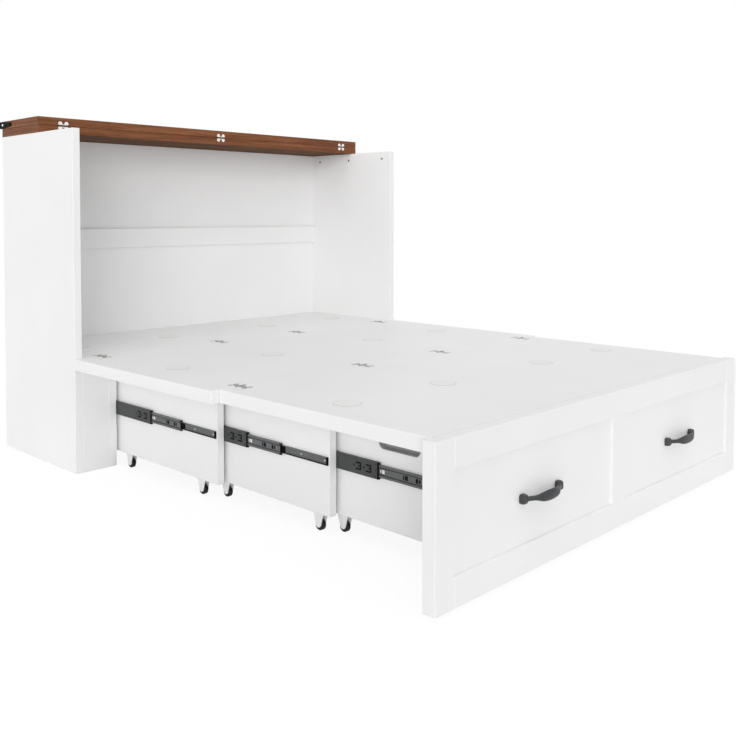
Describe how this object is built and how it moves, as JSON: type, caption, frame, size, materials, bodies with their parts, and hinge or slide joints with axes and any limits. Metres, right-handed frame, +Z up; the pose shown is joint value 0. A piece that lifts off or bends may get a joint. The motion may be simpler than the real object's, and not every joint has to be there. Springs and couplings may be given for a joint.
{
  "type": "cabinet bed",
  "caption": "White cabinet bed shown open, with a brown folding lid, hinged platform boards, telescoping sections on slides and casters, and a framed footboard with dark pulls",
  "frame": {"origin": "on the floor, at the middle of the open bed's footprint", "axes": "+Z up, +Y from the foot end to the cabinet, X across the bed"},
  "size_m": [1.61, 2.1894, 1.238],
  "materials": {
    "white_painted_board": "smooth satin white paint on board",
    "brown_stained_wood": "walnut stain with fine grain, satin",
    "bright_hinge_metal": "bright nickel plate",
    "steel_screws": "zinc plate",
    "dark_cap_plastic": "matt grey moulding",
    "pale_pad_plastic": "matt off-white moulding",
    "dark_coated_steel": "dark grey electro-coat",
    "black_cast_metal": "dark grey to black powder coat",
    "white_coated_metal": "white powder coat",
    "black_wheel_plastic": "black moulded tread"
  },
  "bodies": {
    "cabinet": {"cabinet_side_left": "white_painted_board", "cabinet_side_right": "white_painted_board", "cabinet_back_panel": "white_painted_board", "back_batten": "white_painted_board", "front_fillers": "white_painted_board", "runner_walls": "white_painted_board", "head_deck": "white_painted_board", "rear_foot_rail": "white_painted_board", "connector_caps": "dark_cap_plastic", "head_deck_pads": "pale_pad_plastic", "lid_rear_board": "brown_stained_wood", "lid_hinge_rear_leaves": "bright_hinge_metal", "head_hinge_deck_leaves": "bright_hinge_metal", "stage_1_channels": "dark_coated_steel"},
    "lid_front": {"lid_front_board": "brown_stained_wood", "lid_hinge_front_leaves": "bright_hinge_metal", "lid_pulls": "black_cast_metal"},
    "front_panel": {"front_panel_board": "white_painted_board", "front_panel_frame": "white_painted_board", "front_panel_pads": "pale_pad_plastic", "head_hinge_panel_leaves": "bright_hinge_metal", "foot_hinge_front_leaves": "bright_hinge_metal"},
    "foot_panel": {"foot_panel_board": "white_painted_board", "foot_panel_pads": "pale_pad_plastic", "foot_hinge_foot_leaves": "bright_hinge_metal"},
    "section_1": {"section_1_sides": "white_painted_board", "section_1_rear_board": "white_painted_board", "section_1_casters": "white_coated_metal", "stage_1_inner_members": "dark_coated_steel", "stage_2_channels": "dark_coated_steel"},
    "section_2": {"section_2_sides": "white_painted_board", "section_2_rear_board": "white_painted_board", "section_2_casters": "white_coated_metal", "stage_2_inner_members": "dark_coated_steel", "stage_3_channels": "dark_coated_steel"},
    "section_3": {"section_3_sides": "white_painted_board", "section_3_rear_board": "white_painted_board", "section_3_casters": "white_coated_metal", "stage_3_inner_members": "dark_coated_steel", "footboard_stiles": "white_painted_board", "footboard_rails": "white_painted_board", "footboard_panels": "white_painted_board", "handle_left": "black_cast_metal", "handle_right": "black_cast_metal", "handle_screws": "steel_screws"},
    "stage_1_outer": {"stage_1_outer_members": "dark_coated_steel"},
    "stage_1_middle": {"stage_1_middle_members": "dark_coated_steel"},
    "stage_2_outer": {"stage_2_outer_members": "dark_coated_steel"},
    "stage_2_middle": {"stage_2_middle_members": "dark_coated_steel"},
    "stage_3_outer": {"stage_3_outer_members": "dark_coated_steel"},
    "stage_3_middle": {"stage_3_middle_members": "dark_coated_steel"},
    "section_1_front_wheels": {"section_1_front_wheels": "black_wheel_plastic"},
    "section_1_rear_wheels": {"section_1_rear_wheels": "black_wheel_plastic"},
    "section_2_front_wheels": {"section_2_front_wheels": "black_wheel_plastic"},
    "section_2_rear_wheels": {"section_2_rear_wheels": "black_wheel_plastic"},
    "section_3_front_wheels": {"section_3_front_wheels": "black_wheel_plastic"},
    "section_3_rear_wheels": {"section_3_rear_wheels": "black_wheel_plastic"}
  },
  "joints": [
    {"name": "section_1_slide", "type": "slide", "parent": "cabinet", "child": "section_1", "axis": [0, 1, 0], "range_m": [0, 0.522]},
    {"name": "section_2_slide", "type": "slide", "parent": "section_1", "child": "section_2", "axis": [0, 1, 0], "range_m": [0, 0.465]},
    {"name": "section_3_slide", "type": "slide", "parent": "section_2", "child": "section_3", "axis": [0, 1, 0], "range_m": [0, 0.513]},
    {"name": "front_panel_fold", "type": "hinge", "parent": "cabinet", "child": "front_panel", "pos_m": [0, 0.5302, 0.3945], "axis": [-1, 0, 0], "range_deg": [0, 90]},
    {"name": "foot_panel_fold", "type": "hinge", "parent": "front_panel", "child": "foot_panel", "pos_m": [0, -0.2498, 0.3945], "axis": [-1, 0, 0], "range_deg": [0, 180]},
    {"name": "lid_fold", "type": "hinge", "parent": "cabinet", "child": "lid_front", "pos_m": [0, 0.7822, 1.209], "axis": [1, 0, 0], "range_deg": [0, 180]},
    {"name": "stage_1_outer_slide", "type": "slide", "parent": "cabinet", "child": "stage_1_outer", "axis": [0, 1, 0], "range_m": [0, 0.225]},
    {"name": "stage_1_middle_slide", "type": "slide", "parent": "cabinet", "child": "stage_1_middle", "axis": [0, 1, 0], "range_m": [0, 0.398]},
    {"name": "stage_2_outer_slide", "type": "slide", "parent": "section_1", "child": "stage_2_outer", "axis": [0, 1, 0], "range_m": [0, 0.117]},
    {"name": "stage_2_middle_slide", "type": "slide", "parent": "section_1", "child": "stage_2_middle", "axis": [0, 1, 0], "range_m": [0, 0.271]},
    {"name": "stage_3_outer_slide", "type": "slide", "parent": "section_2", "child": "stage_3_outer", "axis": [0, 1, 0], "range_m": [0, 0.163]},
    {"name": "stage_3_middle_slide", "type": "slide", "parent": "section_2", "child": "stage_3_middle", "axis": [0, 1, 0], "range_m": [0, 0.334]},
    {"name": "section_1_front_wheels_roll", "type": "hinge", "parent": "section_1", "child": "section_1_front_wheels", "pos_m": [0, 0.0427, 0.016], "axis": [1, 0, 0], "continuous": true},
    {"name": "section_1_rear_wheels_roll", "type": "hinge", "parent": "section_1", "child": "section_1_rear_wheels", "pos_m": [0, 0.4717, 0.016], "axis": [1, 0, 0], "continuous": true},
    {"name": "section_2_front_wheels_roll", "type": "hinge", "parent": "section_2", "child": "section_2_front_wheels", "pos_m": [0, -0.4623, 0.016], "axis": [1, 0, 0], "continuous": true},
    {"name": "section_2_rear_wheels_roll", "type": "hinge", "parent": "section_2", "child": "section_2_rear_wheels", "pos_m": [0, -0.0333, 0.016], "axis": [1, 0, 0], "continuous": true},
    {"name": "section_3_front_wheels_roll", "type": "hinge", "parent": "section_3", "child": "section_3_front_wheels", "pos_m": [0, -0.9503, 0.016], "axis": [1, 0, 0], "continuous": true},
    {"name": "section_3_rear_wheels_roll", "type": "hinge", "parent": "section_3", "child": "section_3_rear_wheels", "pos_m": [0, -0.5213, 0.016], "axis": [1, 0, 0], "continuous": true}
  ],
  "couplings": [
    {"joint": "section_2_slide", "follows": "section_1_slide", "ratio": 0.8908},
    {"joint": "front_panel_fold", "follows": "section_1_slide", "rad_per_m": 3.0092},
    {"joint": "foot_panel_fold", "follows": "section_3_slide", "rad_per_m": 6.124},
    {"joint": "stage_1_outer_slide", "follows": "section_1_slide", "ratio": 0.43103},
    {"joint": "stage_1_middle_slide", "follows": "section_1_slide", "ratio": 0.76245},
    {"joint": "stage_2_outer_slide", "follows": "section_1_slide", "ratio": 0.22414},
    {"joint": "stage_2_middle_slide", "follows": "section_1_slide", "ratio": 0.51916},
    {"joint": "stage_3_outer_slide", "follows": "section_3_slide", "ratio": 0.31774},
    {"joint": "stage_3_middle_slide", "follows": "section_3_slide", "ratio": 0.65107}
  ]
}
